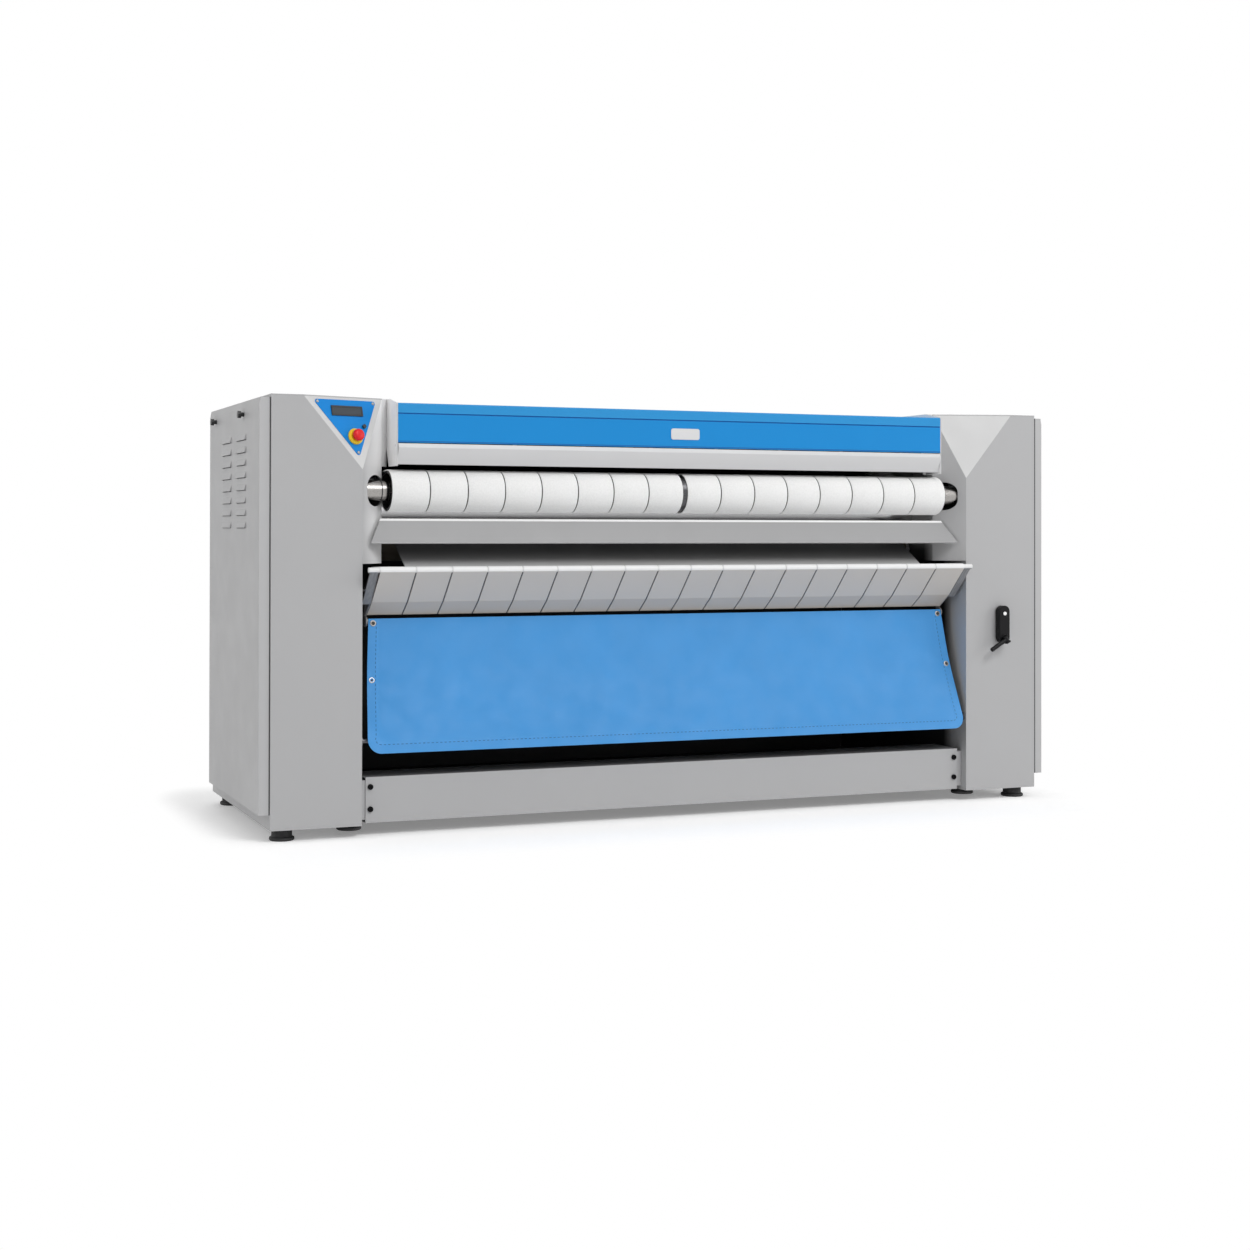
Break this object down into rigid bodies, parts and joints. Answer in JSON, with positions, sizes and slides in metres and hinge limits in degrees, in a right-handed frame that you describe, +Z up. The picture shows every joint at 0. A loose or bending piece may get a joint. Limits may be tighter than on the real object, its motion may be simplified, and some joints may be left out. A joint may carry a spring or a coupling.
{
  "type": "flatwork ironer",
  "caption": "Free-standing flatwork ironer with a heated cylinder, feed belts under a finger guard, a front return table, a cloth apron, two tall end cabinets and a hand crank.",
  "frame": {"origin": "on the floor, under the middle of the machine's bounding box", "axes": "+X to the right of someone facing the machine, +Y towards its back, +Z up; the feed side faces -Y"},
  "size_m": [2.288, 0.802, 1.084],
  "materials": {
    "casing_grey": "satin powder coat",
    "pale_grey": "satin powder coat",
    "hood_blue": "satin paint",
    "sheet_steel": "satin",
    "turned_steel": "polished",
    "dark_steel": "black paint",
    "bearing_iron": "painted",
    "motor_paint": "gloss paint",
    "belt_white": "woven",
    "belt_felt": "needled felt",
    "apron_blue": "coated cloth",
    "label_white": "satin",
    "control_blue": "satin foil",
    "display_black": "glossy",
    "window_dark": "glossy",
    "stop_yellow": "satin",
    "stop_red": "satin",
    "black_plastic": "matte"
  },
  "bodies": {
    "frame": {"left_front_panel": "casing_grey", "right_front_panel": "casing_grey", "top_covers": "casing_grey", "inner_walls": "casing_grey", "rear_covers": "casing_grey", "base_plates": "casing_grey", "side_frames": "dark_steel", "levelling_feet": "black_plastic", "front_rail": "casing_grey", "rail_brackets": "sheet_steel", "rail_bolts": "dark_steel", "rear_tie_bars": "casing_grey", "rear_panel": "casing_grey", "base_pan": "sheet_steel", "hood": "hood_blue", "hood_end_plates": "pale_grey", "label_plate": "label_white", "guide_chute": "casing_grey", "panel_screws": "turned_steel", "return_table": "casing_grey", "return_strips": "pale_grey", "table_brackets": "sheet_steel", "feed_belts": "belt_white", "ironing_belts": "belt_felt", "shaft_bearings": "bearing_iron", "heating_elements": "sheet_steel", "drive_motor": "motor_paint", "drive_chain": "dark_steel", "fan_housing": "sheet_steel", "exhaust_spigot": "sheet_steel", "electrical_box": "pale_grey", "control_plate": "control_blue", "display_bezel": "display_black", "display_window": "window_dark", "stop_ring": "stop_yellow", "apron_stops": "dark_steel", "crank_bush": "sheet_steel"},
    "finger_guard": {"finger_guard": "pale_grey"},
    "feed_roller": {"feed_roller": "turned_steel"},
    "feed_return_roller": {"feed_return_roller": "sheet_steel"},
    "cylinder": {"heated_cylinder": "turned_steel", "cylinder_sprocket": "dark_steel"},
    "press_roller": {"press_roller": "sheet_steel"},
    "outfeed_roller": {"outfeed_roller": "sheet_steel"},
    "rear_guide_roller": {"rear_guide_roller": "sheet_steel"},
    "tension_roller": {"tension_roller": "sheet_steel"},
    "motor_sprocket": {"motor_sprocket": "dark_steel"},
    "fan_wheel": {"fan_wheel": "sheet_steel"},
    "stop_button": {"stop_button": "stop_red"},
    "start_button": {"start_button": "black_plastic"},
    "hand_crank": {"hand_crank": "black_plastic"},
    "crank_grip": {"crank_grip": "black_plastic"},
    "left_side_panel": {"left_side_panel": "casing_grey"},
    "right_side_panel": {"right_side_panel": "casing_grey"},
    "left_front_knob": {"left_front_knob": "black_plastic"},
    "left_rear_knob": {"left_rear_knob": "black_plastic"},
    "right_front_knob": {"right_front_knob": "black_plastic"},
    "right_rear_knob": {"right_rear_knob": "black_plastic"},
    "apron_flap": {"apron_frame": "sheet_steel", "apron_cloth": "apron_blue", "apron_studs": "turned_steel"}
  },
  "joints": [
    {"name": "guard_swing", "type": "hinge", "parent": "frame", "child": "finger_guard", "pos_m": [0, -0.351, 0.965], "axis": [1, 0, 0], "range_deg": [0, 8], "stiffness_Nm_per_rad": 4, "springref_deg": -5.73},
    {"name": "cylinder_spin", "type": "hinge", "parent": "frame", "child": "cylinder", "pos_m": [0, -0.049, 0.86], "axis": [-1, 0, 0], "continuous": true},
    {"name": "feed_spin", "type": "hinge", "parent": "frame", "child": "feed_roller", "pos_m": [0, -0.314, 0.853], "axis": [-1, 0, 0], "continuous": true},
    {"name": "feed_return_spin", "type": "hinge", "parent": "frame", "child": "feed_return_roller", "pos_m": [0, -0.234, 0.883], "axis": [-1, 0, 0], "continuous": true},
    {"name": "press_spin", "type": "hinge", "parent": "frame", "child": "press_roller", "pos_m": [0, -0.15855, 1.01646], "axis": [-1, 0, 0], "continuous": true},
    {"name": "outfeed_spin", "type": "hinge", "parent": "frame", "child": "outfeed_roller", "pos_m": [0, -0.15855, 0.70354], "axis": [-1, 0, 0], "continuous": true},
    {"name": "rear_guide_spin", "type": "hinge", "parent": "frame", "child": "rear_guide_roller", "pos_m": [0, 0.206, 0.999], "axis": [-1, 0, 0], "continuous": true},
    {"name": "tension_spin", "type": "hinge", "parent": "frame", "child": "tension_roller", "pos_m": [0, 0.206, 0.71], "axis": [-1, 0, 0], "continuous": true},
    {"name": "motor_spin", "type": "hinge", "parent": "frame", "child": "motor_sprocket", "pos_m": [0, 0.141, 0.095], "axis": [-1, 0, 0], "continuous": true},
    {"name": "fan_spin", "type": "hinge", "parent": "frame", "child": "fan_wheel", "pos_m": [-0.993, 0.241, 0.9], "axis": [0, 1, 0], "continuous": true},
    {"name": "stop_press", "type": "slide", "parent": "frame", "child": "stop_button", "axis": [-0.2865, 0.9279, -0.2387], "range_m": [0, 0.005]},
    {"name": "start_press", "type": "slide", "parent": "frame", "child": "start_button", "axis": [-0.2865, 0.9279, -0.2387], "range_m": [0, 0.002], "stiffness_N_per_m": 400, "springref_m": -0.002},
    {"name": "crank_turn", "type": "hinge", "parent": "frame", "child": "hand_crank", "pos_m": [0.983, -0.374, 0.524], "axis": [0, 1, 0], "continuous": true},
    {"name": "grip_fold", "type": "hinge", "parent": "hand_crank", "child": "crank_grip", "pos_m": [0.983, -0.391, 0.452], "axis": [-0.515, 0, 0.8572], "range_deg": [0, 90]},
    {"name": "left_panel_tilt", "type": "hinge", "parent": "frame", "child": "left_side_panel", "pos_m": [-1.1003, -0.0425, 0.068], "axis": [0, -1, 0], "range_deg": [0, 25]},
    {"name": "right_panel_tilt", "type": "hinge", "parent": "frame", "child": "right_side_panel", "pos_m": [1.1003, -0.0425, 0.068], "axis": [0, 1, 0], "range_deg": [0, 25]},
    {"name": "left_front_knob_turn", "type": "hinge", "parent": "left_side_panel", "child": "left_front_knob", "pos_m": [-1.128, -0.1745, 1.043], "axis": [-1, 0, 0], "range_deg": [0, 90]},
    {"name": "left_rear_knob_turn", "type": "hinge", "parent": "left_side_panel", "child": "left_rear_knob", "pos_m": [-1.128, 0.1776, 1.043], "axis": [-1, 0, 0], "range_deg": [0, 90]},
    {"name": "right_front_knob_turn", "type": "hinge", "parent": "right_side_panel", "child": "right_front_knob", "pos_m": [1.128, -0.1745, 1.043], "axis": [1, 0, 0], "range_deg": [0, 90]},
    {"name": "right_rear_knob_turn", "type": "hinge", "parent": "right_side_panel", "child": "right_rear_knob", "pos_m": [1.128, 0.1776, 1.043], "axis": [1, 0, 0], "range_deg": [0, 90]},
    {"name": "apron_swing", "type": "hinge", "parent": "frame", "child": "apron_flap", "pos_m": [0, -0.2726, 0.526], "axis": [-1, 0, 0], "range_deg": [0, 75]}
  ],
  "couplings": [
    {"joint": "feed_spin", "follows": "cylinder_spin", "ratio": 3.1739},
    {"joint": "feed_return_spin", "follows": "cylinder_spin", "ratio": 9.806},
    {"joint": "press_spin", "follows": "cylinder_spin", "ratio": -6.1402},
    {"joint": "outfeed_spin", "follows": "cylinder_spin", "ratio": -6.1402},
    {"joint": "rear_guide_spin", "follows": "cylinder_spin", "ratio": -6.1402},
    {"joint": "tension_spin", "follows": "cylinder_spin", "ratio": -6.1402},
    {"joint": "motor_spin", "follows": "cylinder_spin", "ratio": 2.7143}
  ]
}
